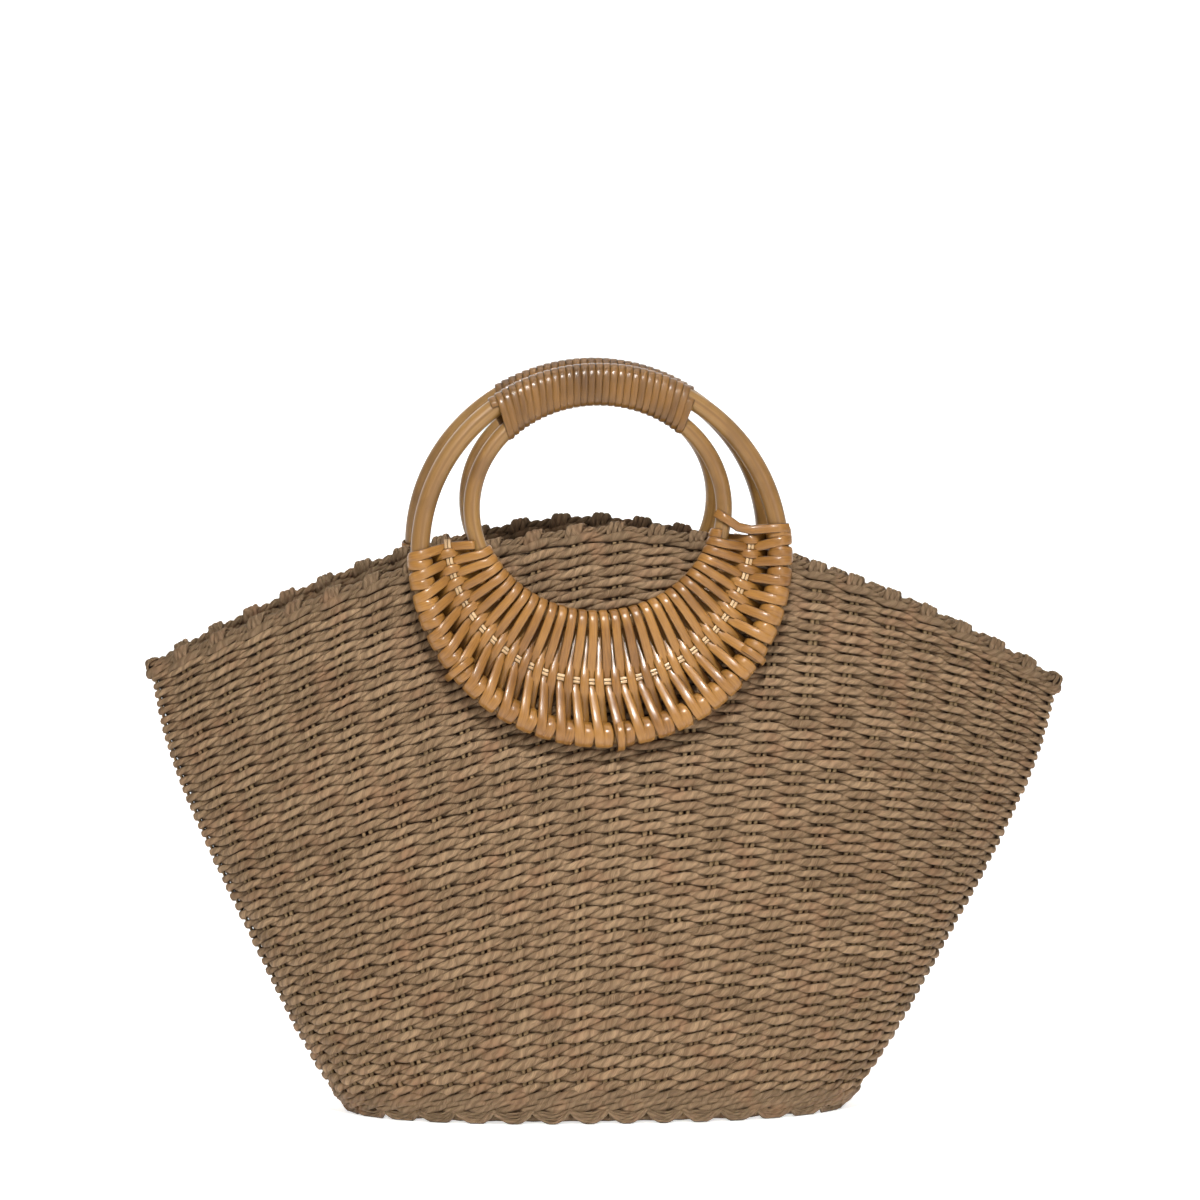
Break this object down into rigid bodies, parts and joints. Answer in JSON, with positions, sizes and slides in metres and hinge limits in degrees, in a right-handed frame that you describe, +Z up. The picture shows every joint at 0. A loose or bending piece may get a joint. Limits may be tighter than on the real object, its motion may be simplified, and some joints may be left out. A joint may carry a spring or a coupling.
{
  "type": "straw basket bag",
  "caption": "Fan-shaped straw tote twined from twisted paper cord, with an oval base and two round cane handles bound and woven with rattan peel.",
  "frame": {"origin": "on the floor under the middle of the bag", "axes": "+Z up, +X to the right along the width of the bag, -Y towards the viewer of its front"},
  "size_m": [0.426, 0.138, 0.3468],
  "materials": {
    "straw_weave": "matt twisted paper-straw cord",
    "straw_border": "matt twisted paper-straw cord, thicker",
    "rattan_cane": "satin varnished cane",
    "rattan_peel": "glossy varnished peel"
  },
  "bodies": {
    "root": {"basket_base": "straw_weave", "basket_wall": "straw_weave", "foot_border": "straw_border", "rim_border": "straw_border", "front_outer_ring": "rattan_cane", "front_inner_ring": "rattan_cane", "front_rib": "rattan_peel", "front_crescent_weave": "rattan_peel", "front_grip_wrap": "rattan_peel", "front_tie_1": "rattan_peel", "front_tie_2": "rattan_peel", "front_tie_3": "rattan_peel", "back_outer_ring": "rattan_cane", "back_inner_ring": "rattan_cane", "back_rib": "rattan_peel", "back_crescent_weave": "rattan_peel", "back_grip_wrap": "rattan_peel", "back_tie_1": "rattan_peel", "back_tie_2": "rattan_peel", "back_tie_3": "rattan_peel"}
  },
  "joints": []
}
